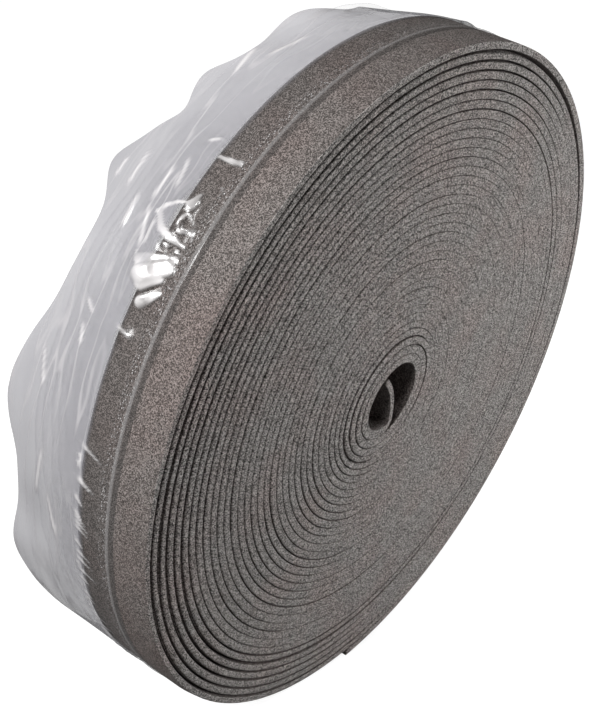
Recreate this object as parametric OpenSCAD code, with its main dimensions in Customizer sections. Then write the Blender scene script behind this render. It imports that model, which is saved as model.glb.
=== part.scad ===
// Roll of edge insulation strip: a foam strip with a film flap, wound into one spiral.
// The roll stands on its tread with its plain end to the front (-Y), and its own tail keeps it from rolling.
// Each turn of the spiral is two half turns, about centres a quarter pitch either side of the axis,
// so the winding is one continuous curve made of true arcs.

/* [Foam strip] */
// Width of the strip, which is the depth of the foam part of the roll
strip_w = 90; // [60:1:150]
// Thickness of the foam
strip_t = 10; // [6:0.5:14]
// Film and air between one turn and the next
wind_gap = 0.4; // [0.2:0.1:2]
// Number of turns in the roll
turns = 35; // [20:1:45]
// Radius of the open bore, inside the innermost turn
bore_r = 41; // [36:1:60]
// Depth of the line between two turns, where it shows on the ends
line_d = 3; // [1.5:0.5:6]

/* [Inner end] */
// Inside radius of the quarter bend where the inner end leaves the wall of the bore
inner_bend_r = 3.5; // [1:0.5:6]
// Radius of the gentle curve across the bore, at the middle of the strip
inner_curve_r = 85; // [70:5:200]
// Gap between the strip's inner end and the wall that it reaches
inner_end_gap = 0.8; // [0.4:0.1:3]

/* [Film flap] */
// Thickness of the film, drawn thicker than the real one so that it is a sound solid
film_t = 1; // [0.6:0.1:1.5]
// Distance of the weld from the strip's front edge
weld_from_front = 49; // [30:1:56]
// Length of the film past the strip's back edge
film_reach = 85; // [40:1:140]
// Clearance between the film and the foam
fit_gap = 0.3; // [0.2:0.05:0.5]

/* [Hidden] */
$fn = 128;
pitch = strip_t + wind_gap;
centre_shift = pitch / 4;
outer_r = bore_r + turns * pitch;
// The roll comes to rest with the corner of its tail and the turn before it both on the floor.
last_half_r = outer_r - pitch / 2;
tail_angle = -asin(last_half_r / (outer_r + pitch / 2));
axis_h = last_half_r + centre_shift * sin(tail_angle);
depth = strip_w + film_reach;
front_z = depth / 2;
back_z = front_z - strip_w;
edge_z = -depth / 2;
weld_z = front_z - weld_from_front;
film_seat_t = film_t + fit_gap;
inner_wall_r = bore_r - pitch / 2;
inner_end_r = inner_wall_r - centre_shift + strip_t / 2;
inner_bend_mid_r = inner_bend_r + strip_t / 2;

// Stands the roll on its tread, centred over the origin. Before this, its front end is up.
module stand_up() {
    translate([-centre_shift, 0, axis_h])
        rotate([90, 0, 0])
            rotate(tail_angle)
                children();
}

// Winds a half section, drawn with radius along X and depth along Y, into the spiral.
module wind() {
    for (half = [0, 1])
        rotate(180 * half)
            translate([centre_shift, 0, 0])
                rotate_extrude(angle = 180)
                    translate([-half * pitch / 2, 0])
                        children();
}

// A rectangle in the half section, between two radii and two depths.
module band(r_in, r_out, z_low, z_high) {
    translate([r_in, z_low])
        square([r_out - r_in, z_high - z_low]);
}

// The half section of the wound strip: all turns as one, with the lines between them cut into both ends
// and the tread lowered behind the weld, so that the film lies level with the bare foam.
module foam_section() {
    cut_past = 1;
    difference() {
        band(bore_r, outer_r, back_z, front_z);
        for (turn = [1 : turns - 1])
            let (r = bore_r + turn * pitch) {
                band(r - film_seat_t, r + fit_gap, front_z - line_d, front_z + cut_past);
                band(r - film_seat_t, r + fit_gap, back_z - cut_past, back_z + line_d);
            }
        band(outer_r - film_seat_t, outer_r + cut_past, back_z - cut_past, weld_z);
    }
}

// A curved length of the strip, with its middle at radius r about the local origin.
module strip_arc(r) {
    rotate_extrude(angle = 90)
        band(r - strip_t / 2, r + strip_t / 2, back_z, front_z);
}

// The strip's inner end: a quarter bend away from the innermost turn, then a gentle curve across the bore.
module inner_end() {
    translate([inner_end_r - inner_bend_mid_r, 0, 0])
        strip_arc(inner_bend_mid_r);
    intersection() {
        translate([inner_end_r - inner_bend_mid_r, inner_bend_mid_r - inner_curve_r, 0])
            rotate(90)
                strip_arc(inner_curve_r);
        translate([-centre_shift, 0, back_z])
            cylinder(r = inner_wall_r - inner_end_gap, h = strip_w);
    }
}

module foam_roll() {
    color([0.44, 0.42, 0.40])
        stand_up() {
            wind() foam_section();
            inner_end();
        }
}

// The half section of the film: free behind the foam on every turn, and lying on the tread of the last.
module film_section() {
    for (turn = [1 : turns])
        let (r = bore_r + turn * pitch, front = turn == turns ? weld_z : back_z + line_d)
            band(r - film_t, r, edge_z, front - fit_gap);
}

module film_flap() {
    color([0.85, 0.84, 0.87, 0.45])
        stand_up()
            wind() film_section();
}

foam_roll();
film_flap();
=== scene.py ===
import math

import bmesh
import bpy
from mathutils import Matrix, Vector, noise


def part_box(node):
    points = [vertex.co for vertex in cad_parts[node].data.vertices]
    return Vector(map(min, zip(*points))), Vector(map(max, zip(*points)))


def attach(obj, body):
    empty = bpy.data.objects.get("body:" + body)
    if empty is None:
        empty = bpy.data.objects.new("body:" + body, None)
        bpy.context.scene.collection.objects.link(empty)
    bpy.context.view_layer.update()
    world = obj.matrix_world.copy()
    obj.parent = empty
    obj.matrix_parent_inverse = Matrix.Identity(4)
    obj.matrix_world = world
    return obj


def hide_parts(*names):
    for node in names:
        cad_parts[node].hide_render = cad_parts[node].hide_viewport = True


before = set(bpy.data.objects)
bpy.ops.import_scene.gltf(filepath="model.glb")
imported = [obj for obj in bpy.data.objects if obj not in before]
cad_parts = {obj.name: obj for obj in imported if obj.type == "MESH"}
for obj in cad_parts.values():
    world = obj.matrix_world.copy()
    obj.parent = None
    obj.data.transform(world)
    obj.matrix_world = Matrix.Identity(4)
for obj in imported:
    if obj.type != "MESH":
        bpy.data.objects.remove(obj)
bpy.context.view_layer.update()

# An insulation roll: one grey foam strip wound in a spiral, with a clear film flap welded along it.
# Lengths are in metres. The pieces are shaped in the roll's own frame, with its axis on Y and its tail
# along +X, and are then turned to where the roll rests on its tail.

FOAM_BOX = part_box("foam_roll")
FILM_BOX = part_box("film_flap")

# The winding
STRIP_T = 0.0100
PITCH = 0.0104
TURNS = 35
BORE_R = 0.0410
OUTER_R = BORE_R + TURNS * PITCH
CENTRE_SHIFT = PITCH / 4
FRONT_Y = FOAM_BOX[0].y
BACK_Y = FOAM_BOX[1].y
WELD_Y = FILM_BOX[0].y
TAIL_ANGLE = -math.asin((OUTER_R - PITCH / 2) / (OUTER_R + PITCH / 2))
AXIS = Vector((-CENTRE_SHIFT, 0, OUTER_R - PITCH / 2 + CENTRE_SHIFT * math.sin(TAIL_ANGLE)))
TO_REST = Matrix.Translation(AXIS) @ Matrix.Rotation(-TAIL_ANGLE, 4, "Y")

# The strip's section and its inner end
PLAIN_ROUND = 0.0004
OUTER_ROUND = 0.0034
INNER_ROUND = 0.0012
EDGE_GAP = 0.0010
ROUND_DEPTH = 0.8
BACK_ROUND = 0.0010
FILM_SEAT = 0.0007
WELD_RAMP = 0.002
# Heights on the front edge as shares of the thickness, and how far back the two rows behind it lie
FRONT_SHARES = (0, 0.03, 0.10, 0.22, 0.5, 0.66, 0.78, 0.87, 0.94, 0.98, 1)
NEAR_ROW = 0.004
FAR_ROW = 0.012
FOAM_STEP = 0.013
FEWEST_STEPS = 16
INNER_BEND_R = 0.0085
INNER_CURVE_R = 0.085
INNER_CURVE_TURN = math.radians(44)
INNER_END_TAPER = 0.4

# The loose core once it has settled: how far aside, which way in the picture and between which radii it
# fades in, and how far, which way and to which radius it is drawn out
CORE_ASIDE = 0.0085
CORE_ASIDE_SEEN = -139
CORE_ASIDE_RADII = (0.27, 0.04)
CORE_STRETCH = 0.20
CORE_STRETCH_SEEN = 28
CORE_STRETCH_R = 0.038
CORE_STRETCH_FADE = 0.045

# How the front edges of the turns stand apart and stand out
EDGE_DEPTH = 0.007
LEAST_OPEN = 0.04
INNERMOST_OPEN = 0.2
MOST_ROUND = 1.1
OUTER_TURNS = (28.5, 30.5)
LOOSE_TURN = 33.7
LOOSE_SEEN = 45
TURN_SWAY = 0.0010
TURN_STEP = 0.0005
CORE_STEP = 0.0025
# Between which turns the outer round fades, the sway fades outwards and inwards, the core steps in and the
# inner end tapers
OUTER_ROUND_TURNS = (34.4, 33.8)
SWAY_OUTER_TURNS = (34.5, 31)
SWAY_INNER_TURNS = (0.5, 3)
CORE_STEP_TURNS = (3.6, 2.8)
INNER_END_TURNS = (0, -0.2)
# The turns that stand open all round: turn, half width, and how far
OPEN_TURNS = ((29.1, 0.45, 0.6), (27.9, 0.45, 0.6), (22.1, 0.4, 0.3), (3.0, 0.5, 0.8), (1.6, 0.5, 0.5))

# The view: a level camera would see the tail at -100 degrees, so the camera and lights turn with the roll.
TAIL_SEEN = math.radians(-100)
IMAGE_SIZE = (591, 712)
FOCAL_PIXELS = 1450
SENSOR = 36
VIEW_AZIMUTH = math.radians(-50.74)
VIEW_ELEVATION = math.radians(40.37)
VIEW_DISTANCE = 1.4175
VIEW_TARGET = Vector((-0.1721, FRONT_Y, 0.1656))
SEEN_TO_REST = Matrix.Translation(AXIS) @ Matrix.Rotation(TAIL_SEEN - TAIL_ANGLE, 4, "Y")


def smooth_step(low, high, x):
    """0 up to low, 1 from high on, with a smooth rise between them."""
    t = min(1, max(0, (x - low) / (high - low)))
    return t * t * (3 - 2 * t)


def bump_at(x, middle, half_width):
    """A smooth hill of height 1 at middle."""
    return math.exp(-(((x - middle) / half_width) ** 2))


# Winding


def winding_arcs(first_turn, turns):
    """The strip's way inwards, as half turns about two centres: centre, outer radius, first angle, sweep."""
    arcs = []
    for half in range(2 * turns):
        centre = Vector((CENTRE_SHIFT if half % 2 == 0 else -CENTRE_SHIFT, 0, 0))
        radius = BORE_R + (first_turn - half / 2) * PITCH
        arcs.append((centre, radius, half * math.pi, math.pi))
    return arcs


def inner_end_arcs():
    """The strip's way on from the innermost turn: a quarter bend, then a gentle curve across the bore."""
    bend_x = CENTRE_SHIFT + BORE_R - STRIP_T / 2 - INNER_BEND_R
    curve_centre = Vector((bend_x, 0, INNER_BEND_R - INNER_CURVE_R))
    return [
        (Vector((bend_x, 0, 0)), INNER_BEND_R + STRIP_T / 2, math.tau * TURNS, math.pi / 2),
        (curve_centre, INNER_CURVE_R + STRIP_T / 2, math.tau * TURNS + math.pi / 2, INNER_CURVE_TURN),
    ]


def stations(arcs, step):
    """Places along the arcs, about a step apart: centre, outer radius, angle wound and length so far."""
    places = []
    length = 0
    for centre, radius, first, sweep in arcs:
        count = max(round(FEWEST_STEPS * sweep / math.pi), round(sweep * radius / step))
        for i in range(count):
            places.append((centre, radius, first + sweep * i / count, length + sweep * radius * i / count))
        length += sweep * radius
    return places + [(centre, radius, first + sweep, length)]


def wound_grid(bm, places, columns):
    """A grid along the winding. Gives each vertex with its place and its column."""
    bmesh.ops.create_grid(bm, x_segments=len(places) - 1, y_segments=columns - 1, size=0.5)
    found = []
    for vert in bm.verts:
        along = round((vert.co.x + 0.5) * (len(places) - 1))
        across = round((vert.co.y + 0.5) * (columns - 1))
        found.append((vert, places[along], across))
    return found


def own_direction(seen):
    """The direction in the roll's own frame of an angle in the picture, in degrees from the right."""
    angle = math.radians(seen) - TAIL_SEEN
    return Vector((math.cos(angle), 0, math.sin(angle)))


def settled(point):
    """Where a point comes to lie once the loose core has settled: aside, and drawn out along one line."""
    out = math.hypot(point.x, point.z)
    aside = CORE_ASIDE * smooth_step(*CORE_ASIDE_RADII, out)
    stretch = CORE_STRETCH * bump_at(max(0, out - CORE_STRETCH_R), 0, CORE_STRETCH_FADE)
    long_axis = own_direction(CORE_STRETCH_SEEN)
    return point + own_direction(CORE_ASIDE_SEEN) * aside + long_axis * (point.dot(long_axis) * stretch)


def wound_point(place, height, y):
    """The point at a height above the strip's inner side, for a place along the winding."""
    centre, radius, wound, _ = place
    reach = radius - STRIP_T + height
    return settled(centre + Vector((reach * math.cos(wound), y, reach * math.sin(wound))))


def seen_angle(wound):
    """The angle in the picture, in degrees from the right, of an angle wound from the tail."""
    return (math.degrees(wound + TAIL_SEEN) + 180) % 360 - 180


def round_and_in(wound, around, inwards):
    """Where to read noise that has no jump as the winding goes round."""
    return Vector((around * math.cos(wound), around * math.sin(wound), inwards * wound / math.tau))


def finished_piece(bm, name, materials, node, lowest):
    """Makes the piece that stands for a CAD node, at rest on the floor and not below a lowest height."""
    bmesh.ops.recalc_face_normals(bm, faces=bm.faces)
    bm.transform(TO_REST)
    for vert in bm.verts:
        vert.co.z = max(vert.co.z, lowest)
    for face in bm.faces:
        face.smooth = True
    mesh = bpy.data.meshes.new(name)
    bm.to_mesh(mesh)
    bm.free()
    for material in materials:
        mesh.materials.append(material)
    piece = bpy.data.objects.new(name, mesh)
    bpy.context.scene.collection.objects.link(piece)
    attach(piece, "root")
    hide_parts(node)
    return piece


# Foam strip


def strip_outline():
    """The strip's section: pairs of height above its inner side and distance back from its front edge."""
    width = BACK_Y - FRONT_Y
    weld = WELD_Y - FRONT_Y
    lowered = STRIP_T - FILM_SEAT
    return [
        (0, width - BACK_ROUND), (0, FAR_ROW), (0, NEAR_ROW),
        *[(STRIP_T * share, 0) for share in FRONT_SHARES],
        (STRIP_T, NEAR_ROW), (STRIP_T, FAR_ROW), (STRIP_T, weld - WELD_RAMP), (lowered, weld),
        (lowered, width - BACK_ROUND), (lowered - BACK_ROUND, width), (BACK_ROUND, width),
    ]


def towards(seen, middle, low, high):
    """How far an angle in the picture lies towards a middle one: 0 at a low cosine, 1 at a high one."""
    return smooth_step(low, high, math.cos(math.radians(seen - middle)))


def openness(turn, seen):
    """How far a turn's front edge draws back from the next turn out: wide grooves on the outer turns, lines
    over the left, a loose outermost turn at the upper right, a few lines all round, and hardly any below."""
    left = towards(seen, 140, -0.2, 0.95)
    upper_left = towards(seen, 125, -0.35, 0.6)
    lower_left = towards(seen, -160, 0.1, 0.9)
    outer = smooth_step(*OUTER_TURNS, turn)
    uneven = max(0.6, 0.85 + 0.8 * noise.noise((turn * 0.9, 3.1, seen * 0.004)))
    lines = 0.55 * left + 0.85 * outer * upper_left + lower_left * (0.25 + 0.75 * outer)
    standing = sum(amount * bump_at(turn, middle, half) for middle, half, amount in OPEN_TURNS)
    loose = bump_at(turn, LOOSE_TURN, 0.3) * (0.5 + 1.6 * bump_at(seen, LOOSE_SEEN, 28))
    return LEAST_OPEN + lines * uneven + standing + loose


def rounded_off(past, radius):
    """How far a round corner has fallen away, past the start of its round."""
    past = min(radius, max(0, past))
    return ROUND_DEPTH * (radius - math.sqrt(radius * radius - past * past))


def foam_point(place, height, back):
    """A point of the strip, with each turn's uneven round edge, drawn apart along the lines between turns."""
    wound = place[2]
    turn = TURNS - wound / math.tau
    seen = seen_angle(wound)
    near_front = bump_at(back, 0, EDGE_DEPTH)
    side = 2 * height / STRIP_T - 1
    opened = openness(turn if side > 0 else turn - 1, seen) if turn > 1 else INNERMOST_OPEN
    fall = 0
    if back == 0:
        rounding = min(MOST_ROUND, opened)
        outer_round = PLAIN_ROUND + OUTER_ROUND * rounding * smooth_step(*OUTER_ROUND_TURNS, turn)
        inner_round = PLAIN_ROUND + INNER_ROUND * rounding
        fall = rounded_off(height - STRIP_T + outer_round, outer_round)
        fall += rounded_off(inner_round - height, inner_round)
    sway = TURN_SWAY * noise.noise(round_and_in(wound, 1.3, 0.08))
    sway *= smooth_step(*SWAY_OUTER_TURNS, turn) * smooth_step(*SWAY_INNER_TURNS, turn)
    sway += ((PITCH - STRIP_T) / 2 - EDGE_GAP * opened) * near_front * side
    sway -= INNER_END_TAPER * (height - STRIP_T / 2) * smooth_step(*INNER_END_TURNS, turn)
    step_out = TURN_STEP * noise.noise(round_and_in(wound, 0.6, 0.8))
    step_out -= CORE_STEP * smooth_step(*CORE_STEP_TURNS, turn)
    return wound_point(place, height + sway, FRONT_Y + back + fall + step_out * near_front)


def make_foam_strip(materials):
    """The whole wound strip as one closed piece, with its cut edges in the second material."""
    outline = strip_outline()
    places = stations(winding_arcs(TURNS, TURNS) + inner_end_arcs(), FOAM_STEP)
    bm = bmesh.new()
    for vert, place, column in wound_grid(bm, places, len(outline) + 1):
        vert.co = foam_point(place, *outline[column % len(outline)])
    bmesh.ops.remove_doubles(bm, verts=bm.verts, dist=1e-6)
    bmesh.ops.holes_fill(bm, edges=[edge for edge in bm.edges if edge.is_boundary], sides=0)
    bm.normal_update()
    for face in bm.faces:
        face.material_index = 1 if abs(face.normal.y) > 0.5 else 0
    return finished_piece(bm, "foam_strip", materials, "foam_roll", 0)


# Film flap

FILM_MARGIN = 0.009
FILM_LIFT = 0.0004
FILM_STEP = 0.0021
INNER_FILM_STEP = 0.010
# Steps between the rows of the film, on the foam and behind it
OUTER_ROW_STEPS = (0.0018, 0.0022)
INNER_ROW_STEPS = (0.006, 0.008)
FINE_ROWS_PAST = 0.02
INNER_FILM_OVERLAP = 0.002
WHITE_EDGE_WIDTH = 0.003
MIDDLE_TURNS = 12
OUTERMOST_TURNS = (33.5, 34.2)
MEAN_REACH = 0.165
FURTHEST_BACK = 0.1015
CREASE_WIDTH = 0.0026
CREASE_STRENGTH = 0.65
CREASE_NEAR = 2
PLEAT_COUNT = 180
PLEATS_FROM = 160
PLEAT_STEP = 1.4
PLEAT_SLANT = 1.5
PLEAT_WIDTH = 0.0040
PLEAT_STRENGTH = 0.66
FAR_CREASES = 26
FOLDS_PER_GATHER = 8
FOLD_STRENGTH = 1
FOLD_RISE = 0.3
FACET_SIZE = 0.010
WELD_RISE = 0.0007
WELD_HALF_WIDTH = 0.0012
FILM_SWAY = 0.014
FILM_RUFFLE = 0.005
EDGE_RAGGED = 0.004
INNER_DRAWN_IN = 0.004
CRUMPLE_RISE = 0.005
# The facets of crumpled film: height and size
CRUMPLES = ((0.004, 0.019), (0.0008, 0.009))
EDGE_WHITE = 0.35
# Just off the floor, so that film lying on it still shows
FILM_LOWEST = 0.0008
# Where the film's free edge bulges and draws back: angle in the picture, half width, and reach added
EDGE_WAVES = (
    (184, 10, 0.016), (157, 9, 0.024), (147, 6, 0.006), (123, 4.5, 0.022), (105, 3, 0.006),
    (112, 3, -0.009), (98, 6, -0.014), (78, 7, -0.026),
)
# Where the free edge stands out and droops: angle in the picture, half width, and how far
EDGE_SWAYS = ((186, 9, 0.016), (122, 10, 0.005), (84, 5, 0.009), (64, 11, -0.018), (206, 6, -0.007))
# Where the film is gathered up off the foam: angle in the picture, half width, and how strongly
GATHERS = ((126, 5, 0.9), (134, 6, 1.0), (116, 2, 0.6), (143, 1.5, 0.5))
# The same where the picture ends
FAR_GATHERS = ((240, 7, 0.9), (295, 6, 0.8), (345, 8, 0.9), (50, 6, 0.8))
# The folds in the gathered film, painted white as highlights: two ends as for the creases, and the half width
# at each
FOLDS = (
    ((138.0, -0.013), (136.1, -0.025), 0.0065, 0.0030), ((134.7, -0.003), (132.6, -0.021), 0.0105, 0.0085),
    ((133.0, 0.008), (131.2, -0.024), 0.0055, 0.0040), ((135.9, -0.006), (134.3, -0.020), 0.0065, 0.0045),
    ((132.2, 0.017), (133.6, 0.006), 0.0010, 0.0030), ((126.6, 0.014), (128.3, 0.003), 0.0030, 0.0036),
    ((128.3, 0.003), (128.9, -0.008), 0.0040, 0.0044), ((128.9, -0.008), (129.3, -0.026), 0.0044, 0.0022),
    ((129.8, -0.003), (130.4, -0.029), 0.0007, 0.0007), ((127.7, -0.015), (127.0, -0.026), 0.0024, 0.0036),
    ((127.0, -0.026), (128.2, -0.030), 0.0026, 0.0010), ((126.9, -0.010), (125.0, -0.012), 0.0012, 0.0016),
    ((125.0, -0.012), (126.2, -0.026), 0.0016, 0.0010), ((123.9, -0.011), (122.1, -0.013), 0.0060, 0.0020),
    ((126.5, 0.018), (125.2, 0.012), 0.0026, 0.0024), ((125.2, 0.012), (123.9, -0.005), 0.0022, 0.0016),
    ((116.3, -0.006), (115.9, -0.028), 0.0024, 0.0034), ((120.0, -0.027), (120.6, -0.031), 0.0014, 0.0010),
)
# The long creases, whiter partly from the folded film and mostly as painted glints: two ends, each an angle
# in the picture and a distance past the foam's back edge
LONG_CREASES = (
    ((125.0, 0.083), (121.4, 0.082)), ((125.7, 0.066), (119.1, 0.064)), ((119.7, 0.031), (125.7, 0.033)),
    ((125.9, 0.031), (132.2, 0.016)), ((117.9, 0.023), (123.0, 0.014)), ((125.0, 0.049), (130.8, 0.046)),
    ((127.3, 0.014), (131.3, 0.014)), ((114.8, 0.018), (113.7, 0.006)), ((140.7, 0.045), (142.5, 0.033)),
    ((147.2, 0.034), (143.9, 0.040)), ((142.1, 0.001), (142.9, -0.020)), ((98.0, 0.040), (90.0, 0.030)),
    ((104.0, 0.050), (97.0, 0.058)), ((155.0, 0.060), (149.0, 0.072)), ((172.0, 0.055), (163.0, 0.048)),
    ((178.0, 0.030), (170.0, 0.040)),
)


def pleats():
    """Short slanting pleats over the foam's back edge, each widest at the edge."""
    made = []
    for k in range(PLEAT_COUNT):
        start = PLEATS_FROM + PLEAT_STEP * k + 1.1 * noise.cell((k + 0.5, 0.5, 0.5))
        reach = 0.012 + 0.016 * noise.cell((k + 0.5, 1.5, 0.5))
        ends = ((start, 0.003), (start + PLEAT_SLANT, -reach))
        made.append((*ends, PLEAT_WIDTH, 0.2 * PLEAT_WIDTH, PLEAT_STRENGTH))
    return made


def far_creases():
    """Long creases like those in the picture, in the film where the picture ends."""
    made = []
    for k in range(FAR_CREASES):
        start = 200 + 10 * k
        back = 0.015 + 0.055 * noise.cell((k + 0.5, 2.5, 0.5))
        made.append(((start, back), (start - 6, back + 0.02 * noise.cell((k + 0.5, 3.5, 0.5)) - 0.01)))
    return made


def far_folds():
    """Folds like those in the picture, in the gathered film where the picture ends."""
    made = []
    for middle, half, _ in FAR_GATHERS:
        for k in range(FOLDS_PER_GATHER):
            start = middle + half * (2 * k / FOLDS_PER_GATHER - 1)
            back = 0.008 - 0.016 * noise.cell((k + 0.5, middle, 0.5))
            turn = 2.4 * noise.cell((k + 0.5, middle, 1.5)) - 1.2
            width = 0.0012 + 0.0020 * noise.cell((k + 0.5, middle, 2.5)) ** 2
            made.append(((start, back), (start + turn, back - 0.020), width, 0.6 * width))
    return made


CREASES = [(*ends, CREASE_WIDTH, CREASE_WIDTH, CREASE_STRENGTH) for ends in (*LONG_CREASES, *far_creases())]
CREASES += pleats()
CREASES += [(*fold, FOLD_STRENGTH) for fold in (*FOLDS, *far_folds())]


def outermost(turn):
    """1 on the outermost turn of the film, 0 further in."""
    return smooth_step(*OUTERMOST_TURNS, turn)


def edge_back(turn, around):
    """How far back the film's free edge lies at this place of the winding."""
    outer = outermost(turn)
    waves = outer * sum(reach * bump_at(around, middle, half) for middle, half, reach in EDGE_WAVES)
    ragged = EDGE_RAGGED * noise.noise((turn * 2.1, around * 0.05, 7.7))
    return min(FURTHEST_BACK, FRONT_Y + MEAN_REACH + waves + ragged - INNER_DRAWN_IN * (1 - outer))


def film_wave(turn, around, wound, free, y):
    """How far the free film stands out from a true round, growing towards its edge."""
    sway = FILM_SWAY * noise.noise(round_and_in(wound, 2.2, 0.11))
    sway += outermost(turn) * sum(out * bump_at(around, middle, half) for middle, half, out in EDGE_SWAYS)
    ruffle = FILM_RUFFLE * noise.noise(round_and_in(wound, 7.5, 0.16) + Vector((0, 0, y * 6)))
    return free ** 1.2 * (sway + ruffle)


def on_flat(around, back):
    """A place on the outermost turn of the film, laid out flat."""
    return Vector((math.radians(around) * OUTER_R, BACK_Y + back))


def whitening(around, y):
    """How white the film is from creases and folds at a place, from 0 to 1, and how far they lift it. The
    white is partly the whitening of folded film and, on the folds and long creases, painted highlight.
    """
    white = 0
    lift = 0
    here = on_flat(around, y - BACK_Y)
    # Painted shade across the white folds: some facets dimmer than others
    shade = 0.62 + 0.38 * facet(*here, FACET_SIZE)
    for first, last, first_width, last_width, strength in CREASES:
        if min(first[0], last[0]) - CREASE_NEAR < around < max(first[0], last[0]) + CREASE_NEAR:
            start = on_flat(*first)
            way = on_flat(*last) - start
            share = min(1, max(0, (here - start).dot(way) / way.length_squared))
            width = first_width + share * (last_width - first_width)
            off = (here - start - way * share).length / width
            if strength == FOLD_STRENGTH:
                near = smooth_step(1.25, 0.65, off)
                white = max(white, strength * near * shade)
            else:
                near = smooth_step(1.25, 0.1, off) * min(1, 0.15 + 4 * min(share, 1 - share))
                white = max(white, strength * near)
            lift = max(lift, FOLD_RISE * width * near)
    return white, lift


def facet(along, y, size):
    """Height, from 0 to 1, of a sheet crumpled into flat facets of about this size."""
    across = (along + 0.4 * y) / size
    back = (0.8 * y - 0.15 * along) / size
    i, j = math.floor(across), math.floor(back)
    u, v = across - i, back - j
    near = noise.cell((i + 0.5, j + 0.5, 0.5))
    beside = noise.cell((i + 1.5, j + 0.5, 0.5))
    behind = noise.cell((i + 0.5, j + 1.5, 0.5))
    if u + v < 1:
        return near + u * (beside - near) + v * (behind - near)
    far = noise.cell((i + 1.5, j + 1.5, 0.5))
    return far + (1 - u) * (behind - far) + (1 - v) * (beside - far)


def crumple(along, y):
    """How far gathered film stands off the foam: rising to the back edge, in broad facets with finer ones."""
    rise = CRUMPLE_RISE * smooth_step(WELD_Y + 0.010, BACK_Y + 0.004, y)
    return rise + sum(height * facet(along, y, size) for height, size in CRUMPLES)


def gathered(around, y):
    """How strongly the film is gathered up off the foam's back edge, from 0 to 1."""
    zones = (*GATHERS, *FAR_GATHERS)
    zone = min(1, sum(amount * bump_at(around, middle, half) for middle, half, amount in zones))
    on_foam = smooth_step(WELD_Y + 0.006, WELD_Y + 0.026, y)
    return zone * on_foam * smooth_step(BACK_Y + 0.035, BACK_Y + 0.004, y)


def film_point(place, row, rows):
    """A point of the film, where it lies on the flat sheet, and how creased it is there."""
    wound, along = place[2:]
    turn = TURNS - wound / math.tau
    around = seen_angle(wound) % 360
    y = row
    free = max(0, (y - BACK_Y) / (rows[-1] - BACK_Y))
    if free:
        y = BACK_Y + free * (edge_back(turn, around) - BACK_Y)
    white = EDGE_WHITE if row == rows[-1] else 0
    lift = 0
    if turn > TURNS - 1:
        white, lift = whitening(around, y)
        lift += gathered(around, y) * crumple(along, y)
    lift += FILM_LIFT + film_wave(turn, around, wound, free, y)
    lift += WELD_RISE * bump_at(y, WELD_Y, WELD_HALF_WIDTH)
    return wound_point(place, STRIP_T + lift, y), (along, y), white


def film_rows(first, step_fine, step_wide):
    """The film's rows from its first line back to its mean free edge, closer together on the foam."""
    last = FRONT_Y + MEAN_REACH
    middle = BACK_Y + FINE_ROWS_PAST
    rows = []
    y = first
    while y < last - step_wide / 2:
        rows.append(y)
        y += step_fine if y < middle else step_wide
    return rows + [last]


def make_film(name, first_turn, turns, rows, step, material):
    """Some turns of the film as one sheet, with its flat layout as UV and its whitening as an attribute:
    creases, folds and free edge, with painted highlights on the folds and long creases.
    """
    wound_before = math.tau * (TURNS - first_turn)
    places = []
    for centre, radius, wound, along in stations(winding_arcs(first_turn, turns), step):
        places.append((centre, radius, wound_before + wound, along))
    bm = bmesh.new()
    uv_layer = bm.loops.layers.uv.new("flat")
    whitening_layer = bm.verts.layers.float.new("whitening")
    flat_places = {}
    for vert, place, column in wound_grid(bm, places, len(rows)):
        vert.co, flat_places[vert], vert[whitening_layer] = film_point(place, rows[column], rows)
    for face in bm.faces:
        for loop in face.loops:
            loop[uv_layer].uv = flat_places[loop.vert]
    piece = finished_piece(bm, name, [material], "film_flap", FILM_LOWEST)
    return piece


# Materials

CELLS_PER_METRE = 1100
# Along the strip from its tail: where the free film thickens, and where painted shade darkens its milky tone,
# for film lying in its own shadow
THICKENS_ALONG = (1.30, 1.85)
PAINTED_SHADE_ALONG = 1.74
ON_FOAM_TONE = (0.07, 0.066, 0.064, 1)
# The white of creases and folds, partly folded film and partly painted highlight
CREASE_AND_HIGHLIGHT_TONE = (0.74, 0.72, 0.72, 1)


def add_node(tree, kind, inputs=None, **settings):
    """Adds a node, with its settings, its input values and the sockets that feed it."""
    made = tree.nodes.new(kind)
    for name, value in settings.items():
        setattr(made, name, value)
    for name, value in (inputs or {}).items():
        if isinstance(value, bpy.types.NodeSocket):
            tree.links.new(value, made.inputs[name])
        else:
            made.inputs[name].default_value = value
    return made


def times(tree, first, second):
    """Two values or masks multiplied."""
    return add_node(tree, "ShaderNodeMath", {0: first, 1: second}, operation="MULTIPLY").outputs["Value"]


def add_up(tree, base, *parts):
    """A value with other masks added to it, each times its amount."""
    for mask, amount in parts:
        added = add_node(tree, "ShaderNodeMath", {0: mask, 1: amount, 2: base}, operation="MULTIPLY_ADD")
        base = added.outputs["Value"]
    return base


def band_mask(tree, value, middle, solid, soft):
    """A mask that is 1 within a solid half width of the middle, and falls to 0 at a soft half width."""
    off = add_node(tree, "ShaderNodeMath", {0: value, 1: middle}, operation="SUBTRACT")
    size = add_node(tree, "ShaderNodeMath", {0: off.outputs["Value"]}, operation="ABSOLUTE")
    mask = add_node(tree, "ShaderNodeMapRange", {
        "Value": size.outputs["Value"], "From Min": solid, "From Max": soft, "To Min": 1.0, "To Max": 0.0},
        interpolation_type="SMOOTHSTEP")
    return mask.outputs["Result"]


def new_material(name):
    """A new material, with its node tree and its shader."""
    material = bpy.data.materials.new(name)
    material.use_nodes = True
    tree = material.node_tree
    return material, tree, tree.nodes["Principled BSDF"]


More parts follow.
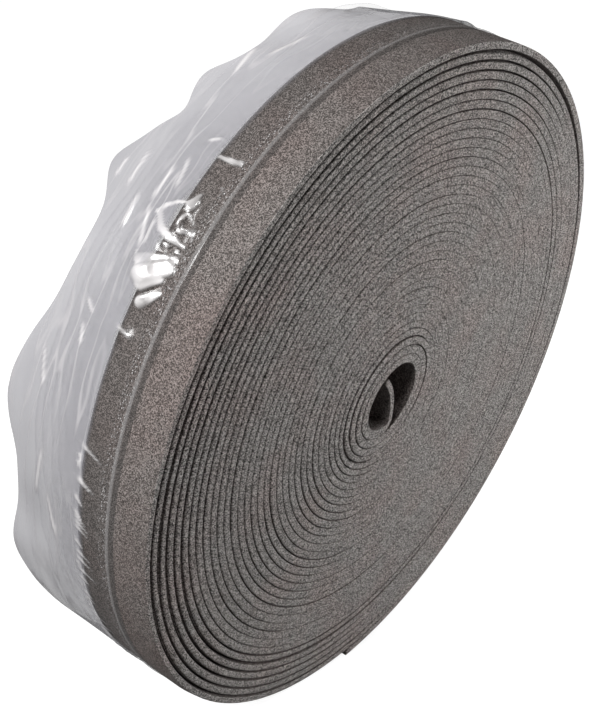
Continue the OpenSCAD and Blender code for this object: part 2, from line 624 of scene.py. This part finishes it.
def cell_grain_group():
    """Foam cells: a mask of pale and dark cells, each with a darker middle."""
    group = bpy.data.node_groups.new("cell_grain", "ShaderNodeTree")
    group.interface.new_socket("Vector", in_out="INPUT", socket_type="NodeSocketVector")
    group.interface.new_socket("Scale", in_out="INPUT", socket_type="NodeSocketFloat")
    group.interface.new_socket("Speckle", in_out="OUTPUT", socket_type="NodeSocketFloat")
    enter = group.nodes.new("NodeGroupInput")
    leave = group.nodes.new("NodeGroupOutput")
    cells = add_node(group, "ShaderNodeTexVoronoi", {
        "Vector": enter.outputs["Vector"], "Scale": enter.outputs["Scale"]})
    chance = add_node(group, "ShaderNodeSeparateColor", {"Color": cells.outputs["Color"]})
    pits = add_node(group, "ShaderNodeMapRange", {
        "Value": cells.outputs["Distance"], "From Min": 0.1, "From Max": 0.75})
    both = add_node(group, "ShaderNodeMix", {
        "Factor": 0.3, "A": chance.outputs["Red"], "B": pits.outputs["Result"]}, data_type="FLOAT")
    group.links.new(both.outputs["Result"], leave.inputs["Speckle"])
    return group


def foam_material(name, grain_group, dark, mean, light, patch):
    """Closed-cell foam: speckled grey, matt, with faint warm patches."""
    material, tree, shader = new_material(name)
    place = add_node(tree, "ShaderNodeTexCoord").outputs["Object"]
    grain = add_node(tree, "ShaderNodeGroup", node_tree=grain_group)
    tree.links.new(place, grain.inputs["Vector"])
    grain.inputs["Scale"].default_value = CELLS_PER_METRE
    colours = add_node(tree, "ShaderNodeValToRGB", {"Fac": grain.outputs["Speckle"]})
    ramp = colours.color_ramp
    ramp.elements[0].position = 0.22
    ramp.elements[0].color = (*dark, 1)
    ramp.elements[1].position = 0.82
    ramp.elements[1].color = (*light, 1)
    ramp.elements.new(0.5).color = (*mean, 1)
    patches = add_node(tree, "ShaderNodeTexNoise", {"Vector": place, "Scale": 14.0, "Detail": 3.0})
    warmth = add_node(tree, "ShaderNodeMapRange", {
        "Value": patches.outputs["Fac"], "From Min": 0.42, "From Max": 0.68})
    tint = add_node(tree, "ShaderNodeMix", {
        "Factor": warmth.outputs["Result"], "A": colours.outputs["Color"], "B": (*patch, 1)},
        data_type="RGBA", blend_type="MULTIPLY")
    bump = add_node(tree, "ShaderNodeBump", {
        "Strength": 0.5, "Distance": 0.0009, "Height": grain.outputs["Speckle"]})
    tree.links.new(tint.outputs["Result"], shader.inputs["Base Color"])
    tree.links.new(bump.outputs["Normal"], shader.inputs["Normal"])
    shader.inputs["Roughness"].default_value = 0.85
    shader.inputs["Specular IOR Level"].default_value = 0.25
    return material


def film_crinkle_group():
    """Film crinkles: broad soft waves along the strip, thin wrinkles in them, and fine points for the weld's
    knurl, which the film paints white partly as glints.
    """
    group = bpy.data.node_groups.new("film_crinkle", "ShaderNodeTree")
    group.interface.new_socket("Vector", in_out="INPUT", socket_type="NodeSocketVector")
    group.interface.new_socket("Cloud", in_out="OUTPUT", socket_type="NodeSocketFloat")
    group.interface.new_socket("Wrinkles", in_out="OUTPUT", socket_type="NodeSocketFloat")
    group.interface.new_socket("Points", in_out="OUTPUT", socket_type="NodeSocketFloat")
    group.interface.new_socket("Height", in_out="OUTPUT", socket_type="NodeSocketFloat")
    enter = group.nodes.new("NodeGroupInput")
    leave = group.nodes.new("NodeGroupOutput")
    slanted = add_node(group, "ShaderNodeMapping", {
        "Vector": enter.outputs["Vector"], "Rotation": (0, 0, 0.22), "Scale": (7, 32, 1)})
    waves = add_node(group, "ShaderNodeTexNoise", {
        "Vector": slanted.outputs["Vector"], "Scale": 1.0, "Detail": 1.5, "Roughness": 0.45,
        "Distortion": 0.4})
    cloud = add_node(group, "ShaderNodeMapRange", {
        "Value": waves.outputs["Fac"], "From Min": 0.3, "From Max": 0.7})
    askew = add_node(group, "ShaderNodeMapping", {
        "Vector": enter.outputs["Vector"], "Rotation": (0, 0, 0.30), "Scale": (9, 70, 1)})
    strands = add_node(group, "ShaderNodeTexNoise", {
        "Vector": askew.outputs["Vector"], "Scale": 1.0, "Detail": 1.0, "Roughness": 0.4,
        "Distortion": 0.1})
    lines = band_mask(group, strands.outputs["Fac"], 0.5, 0.0, 0.060)
    broken = times(group, lines, cloud.outputs["Result"])
    drawn_out = add_node(group, "ShaderNodeMapping", {
        "Vector": enter.outputs["Vector"], "Scale": (330, 480, 1)})
    cells = add_node(group, "ShaderNodeTexVoronoi", {"Vector": drawn_out.outputs["Vector"], "Scale": 1.0})
    points = add_node(group, "ShaderNodeMapRange", {
        "Value": cells.outputs["Distance"], "From Min": 0.12, "From Max": 0.40, "To Min": 1.0, "To Max": 0.0})
    group.links.new(cloud.outputs["Result"], leave.inputs["Cloud"])
    group.links.new(broken, leave.inputs["Wrinkles"])
    group.links.new(points.outputs["Result"], leave.inputs["Points"])
    group.links.new(waves.outputs["Fac"], leave.inputs["Height"])
    return group


def film_material(name, crinkle_group, milkiness, milk, painted_shade_milk):
    """Thin clear film: clear where it lies on the foam, milky where it is free, and darker along one stretch
    of the strip as painted shade. Whiter at the weld, along its creases, folds and wrinkles and in points
    behind the weld, which is partly real whitening and partly painted highlights and glints, and whiter where
    it is seen edge on."""
    material, tree, shader = new_material(name)
    place = add_node(tree, "ShaderNodeUVMap", uv_map="flat").outputs["UV"]
    crinkle = add_node(tree, "ShaderNodeGroup", node_tree=crinkle_group)
    tree.links.new(place, crinkle.inputs["Vector"])
    # Whitening on the sheet: partly folded film, partly painted highlights on folds and creases
    crease_white_and_highlight = add_node(tree, "ShaderNodeAttribute", attribute_name="whitening").outputs["Fac"]
    facing = add_node(tree, "ShaderNodeLayerWeight", {"Blend": 0.3}).outputs["Facing"]
    flat = add_node(tree, "ShaderNodeSeparateXYZ", {"Vector": place})
    along = flat.outputs["X"]
    back = flat.outputs["Y"]
    dense = add_node(tree, "ShaderNodeMapRange", {
        "Value": along, "From Min": THICKENS_ALONG[0], "From Max": THICKENS_ALONG[1]}).outputs["Result"]
    # Painted shade: a band along the strip where the milky tone is painted darker
    painted_shade = band_mask(tree, along, PAINTED_SHADE_ALONG, 0.15, 0.45)
    ragged = add_up(tree, back, (crinkle.outputs["Cloud"], 0.004))
    free = add_node(tree, "ShaderNodeMapRange", {
        "Value": ragged, "From Min": BACK_Y - 0.007, "From Max": BACK_Y + 0.002},
        interpolation_type="SMOOTHSTEP").outputs["Result"]
    weld = band_mask(tree, back, WELD_Y, 0.0010, 0.0032)
    margin = band_mask(tree, back, WELD_Y - 0.0055, 0.0020, 0.0040)
    knurl = band_mask(tree, back, WELD_Y + 0.007, 0.001, 0.010)
    # White points behind the weld: the knurl's dot pattern, partly painted glints
    knurl_white_and_glint = times(tree, knurl, crinkle.outputs["Points"])
    # Pale wrinkle streaks on the free film, partly painted highlights
    wrinkle_white_and_highlight = times(tree, free, crinkle.outputs["Wrinkles"])
    cloudy = times(tree, free, crinkle.outputs["Cloud"])
    # How far the tone turns white: the pale weld, the knurl points, and the creases, folds and wrinkles with
    # their painted highlights
    pale = add_up(tree, crease_white_and_highlight, (weld, 0.30), (knurl_white_and_glint, 0.9), (wrinkle_white_and_highlight, 0.40))
    # The milky tone, turned to its painted-shade copy within that band
    milk_tone = add_node(tree, "ShaderNodeMix", {
        "Factor": painted_shade, "A": (*milk, 1), "B": (*painted_shade_milk, 1)}, data_type="RGBA")
    tone = add_node(tree, "ShaderNodeMix", {
        "Factor": free, "A": ON_FOAM_TONE, "B": milk_tone.outputs["Result"]}, data_type="RGBA")
    whitened_and_highlit = add_node(tree, "ShaderNodeMix", {
        "Factor": pale, "A": tone.outputs["Result"], "B": CREASE_AND_HIGHLIGHT_TONE}, data_type="RGBA")
    milky = add_node(tree, "ShaderNodeMapRange", {
        "Value": free, "To Min": 0.16 * milkiness, "To Max": milkiness})
    alpha = add_up(
        tree, milky.outputs["Result"], (facing, 0.2 * milkiness), (cloudy, 0.15 * milkiness), (dense, 0.12),
        (crease_white_and_highlight, 0.85), (weld, 0.30), (margin, 0.20), (knurl_white_and_glint, 0.50), (wrinkle_white_and_highlight, 0.24))
    bump = add_node(tree, "ShaderNodeBump", {
        "Strength": 0.6, "Distance": 0.004, "Height": crinkle.outputs["Height"]})
    tree.links.new(whitened_and_highlit.outputs["Result"], shader.inputs["Base Color"])
    tree.links.new(alpha, shader.inputs["Alpha"])
    tree.links.new(bump.outputs["Normal"], shader.inputs["Normal"])
    shader.inputs["Roughness"].default_value = 0.18
    shader.inputs["IOR"].default_value = 1.5
    shader.inputs["Specular IOR Level"].default_value = 1.0
    return material


def inner_film_material():
    """The film between the turns: thin and clear, milky along its free edge and where it is seen edge on."""
    material, tree, shader = new_material("inner_film")
    edge = add_node(tree, "ShaderNodeAttribute", attribute_name="whitening").outputs["Fac"]
    facing = add_node(tree, "ShaderNodeLayerWeight", {"Blend": 0.3}).outputs["Facing"]
    tree.links.new(add_up(tree, 0.08, (edge, 0.8), (facing, 0.12)), shader.inputs["Alpha"])
    shader.inputs["Base Color"].default_value = (0.55, 0.54, 0.57, 1)
    shader.inputs["Roughness"].default_value = 0.3
    return material


# Studio

LIGHT_UP = Vector((0, 1, 0.01))
WORLD_STRENGTH = 0.05
FLOOR_GLOW = 0.92
FLOOR_HALF = 60
# Film lies in many layers behind the foam
MOST_LAYERS = 32


def to_look(place, target, up):
    """A transform that stands at place and looks along its own -Z at target."""
    back = (place - target).normalized()
    right = up.cross(back).normalized()
    axes = Matrix((right, back.cross(right), back)).transposed().to_4x4()
    return Matrix.Translation(place) @ axes


def make_camera():
    """The camera, in the picture's frame and then turned with the roll."""
    data = bpy.data.cameras.new("camera")
    data.sensor_width = SENSOR
    data.lens = SENSOR * FOCAL_PIXELS / max(IMAGE_SIZE)
    data.clip_end = 100
    camera = bpy.data.objects.new("camera", data)
    level = math.cos(VIEW_ELEVATION)
    away = Vector((
        math.sin(VIEW_AZIMUTH) * level, -math.cos(VIEW_AZIMUTH) * level, math.sin(VIEW_ELEVATION)))
    place = VIEW_TARGET + away * VIEW_DISTANCE
    camera.matrix_world = SEEN_TO_REST @ to_look(place, VIEW_TARGET, Vector((0, 0, 1)))
    bpy.context.scene.collection.objects.link(camera)
    bpy.context.scene.camera = camera


def aim_light(light, place):
    """Puts a light at a place in the picture's frame, looking at the roll's middle."""
    light.matrix_world = SEEN_TO_REST @ to_look(place, Vector((0, 0, 0)), LIGHT_UP)
    bpy.context.scene.collection.objects.link(light)


def make_light(name, direction, distance, size, power):
    """A softbox that looks at the roll from a direction in the picture's frame."""
    data = bpy.data.lights.new(name, "AREA")
    data.shape = "RECTANGLE"
    data.size, data.size_y = size
    data.energy = power
    light = bpy.data.objects.new(name, data)
    light.visible_camera = False
    aim_light(light, Vector(direction).normalized() * distance)


def make_sun(name, direction, angle, strength):
    """Even soft light from a direction in the picture's frame."""
    data = bpy.data.lights.new(name, "SUN")
    data.angle = angle
    data.energy = strength
    aim_light(bpy.data.objects.new(name, data), Vector(direction))


def make_world():
    """A faint even light, and a white backdrop where the camera looks past the floor."""
    world = bpy.data.worlds.new("studio")
    bpy.context.scene.world = world
    world.use_nodes = True
    tree = world.node_tree
    sky = tree.nodes["Background"]
    sky.inputs["Color"].default_value = (1, 1, 1, 1)
    looked_at = add_node(tree, "ShaderNodeLightPath").outputs["Is Camera Ray"]
    tree.links.new(add_up(tree, WORLD_STRENGTH, (looked_at, 1 - WORLD_STRENGTH)), sky.inputs["Strength"])


def make_floor():
    """A floor that looks white, and throws back little light."""
    bm = bmesh.new()
    bmesh.ops.create_grid(bm, x_segments=1, y_segments=1, size=FLOOR_HALF)
    mesh = bpy.data.meshes.new("floor")
    bm.to_mesh(mesh)
    bm.free()
    material, tree, shader = new_material("pale_floor")
    shader.inputs["Base Color"].default_value = (0.18, 0.18, 0.18, 1)
    shader.inputs["Roughness"].default_value = 0.9
    looked_at = add_node(tree, "ShaderNodeLightPath").outputs["Is Camera Ray"]
    tree.links.new(times(tree, looked_at, FLOOR_GLOW), shader.inputs["Emission Strength"])
    shader.inputs["Emission Color"].default_value = (1, 1, 1, 1)
    mesh.materials.append(material)
    floor = bpy.data.objects.new("floor", mesh)
    bpy.context.scene.collection.objects.link(floor)


def make_studio():
    """The world, the floor and the lights."""
    bpy.context.scene.view_settings.view_transform = "Standard"
    bpy.context.scene.cycles.transparent_max_bounces = MOST_LAYERS
    make_world()
    make_floor()
    make_sun("upper_left", (-0.58, 0.09, 0.78), math.radians(22), 3.4)
    make_light("near_left", (-0.68, 0.02, 0.73), 1.15, (0.25, 0.5), 2.8)
    make_light("front_right", (0.75, -1.3, 0.05), 1.5, (0.6, 0.8), 12.5)
    make_light("back", (0.6, 1.3, -0.05), 1.7, (0.6, 0.8), 16)
    make_light("top_front", (-0.30, -0.15, 0.94), 2.4, (0.15, 0.30), 9)


make_camera()
make_studio()
grain = cell_grain_group()
foam_skin = foam_material(
    "foam_skin", grain, dark=(0.030, 0.026, 0.024), mean=(0.082, 0.071, 0.066), light=(0.26, 0.233, 0.222),
    patch=(1.0, 0.93, 0.92))
foam_cut = foam_material(
    "foam_cut", grain, dark=(0.024, 0.0225, 0.021), mean=(0.148, 0.138, 0.131), light=(0.66, 0.625, 0.60),
    patch=(1.04, 0.97, 0.96))
# The darker second milk is painted shade for the free film in its own shadow
outer_film = film_material(
    "outer_film", film_crinkle_group(), milkiness=0.60, milk=(0.38, 0.372, 0.40),
    painted_shade_milk=(0.225, 0.22, 0.24))
inner_film = inner_film_material()
foam = make_foam_strip([foam_skin, foam_cut])
outer_rows = film_rows(WELD_Y - FILM_MARGIN, *OUTER_ROW_STEPS)
inner_rows = film_rows(BACK_Y - INNER_FILM_OVERLAP, *INNER_ROW_STEPS)
inner_rows.insert(-1, inner_rows[-1] - WHITE_EDGE_WIDTH)
inner_turns = TURNS - 1 - MIDDLE_TURNS
make_film("film_outer", TURNS, 1, outer_rows, FILM_STEP, outer_film)
make_film("film_middle", TURNS - 1, MIDDLE_TURNS, inner_rows, INNER_FILM_STEP, inner_film)
make_film("film_inner", inner_turns, inner_turns, inner_rows, INNER_FILM_STEP, inner_film)
